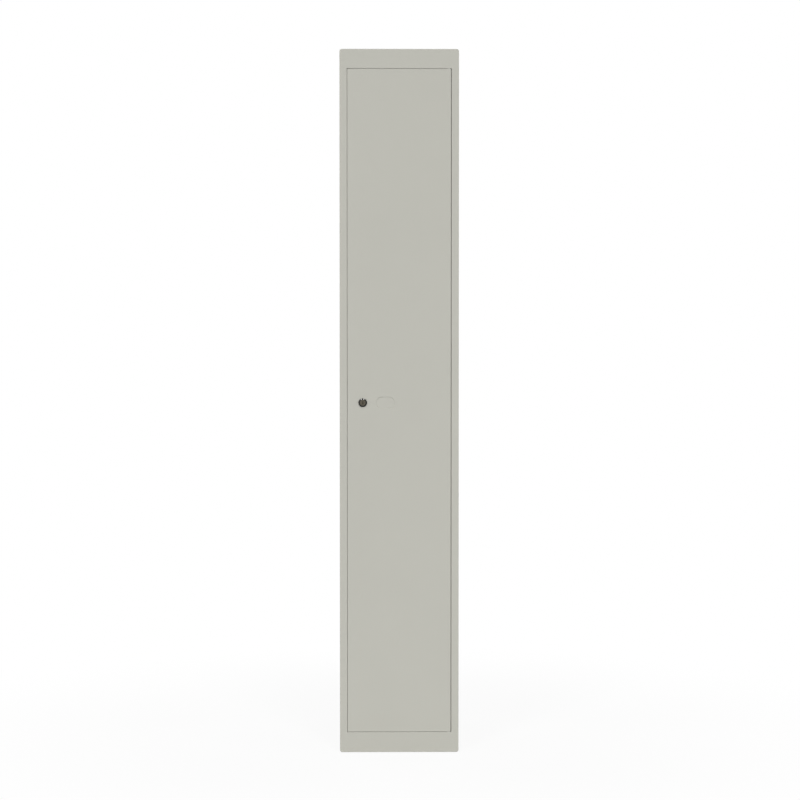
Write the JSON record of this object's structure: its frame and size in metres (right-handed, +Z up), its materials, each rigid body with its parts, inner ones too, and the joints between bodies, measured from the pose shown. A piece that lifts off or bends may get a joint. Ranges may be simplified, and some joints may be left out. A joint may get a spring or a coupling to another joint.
{
  "type": "metal locker",
  "caption": "Tall narrow steel clothes locker with a flush door on concealed pivots, a cam lock, a label recess, a hat shelf and a coat hook.",
  "frame": {"origin": "on the floor, under the middle of the carcass", "axes": "+Z up, the door faces -Y, +X is to the right seen from the front"},
  "size_m": [0.305, 0.4602, 1.802],
  "materials": {
    "grey_paint": "light warm grey powder coat, satin",
    "lock_black": "gloss black",
    "lock_nickel": "black nickel plate",
    "zinc": "bright zinc plate",
    "brass": "stamped brass",
    "nylon": "natural nylon",
    "rubber": "moulded rubber"
  },
  "bodies": {
    "carcass": {"left_side_panel": "grey_paint", "right_side_panel": "grey_paint", "top_panel": "grey_paint", "floor_pan": "grey_paint", "back_panel": "grey_paint", "hat_shelf": "grey_paint", "coat_hook": "zinc", "coat_hook_rivets": "zinc", "lock_keeper": "grey_paint", "door_buffers": "rubber", "lower_hinge_pin": "zinc", "upper_hinge_pin": "zinc"},
    "door": {"door_skin": "grey_paint", "door_stiffener": "grey_paint", "lower_pivot_plate": "grey_paint", "upper_pivot_plate": "grey_paint", "lower_hinge_bush": "nylon", "upper_hinge_bush": "nylon", "lock_housing": "lock_black", "lock_washer": "zinc", "lock_nut": "zinc"},
    "lock": {"lock_plug": "lock_nickel", "lock_wafers": "brass", "lock_cam": "zinc", "cam_screw": "zinc"}
  },
  "joints": [
    {"name": "door_hinge", "type": "hinge", "parent": "carcass", "child": "door", "pos_m": [0.1263, -0.2241, 0], "axis": [0, 0, 1], "range_deg": [0, 110]},
    {"name": "lock_turn", "type": "hinge", "parent": "door", "child": "lock", "pos_m": [-0.0935, -0.2285, 0.9], "axis": [0, 1, 0], "range_deg": [0, 90]}
  ]
}
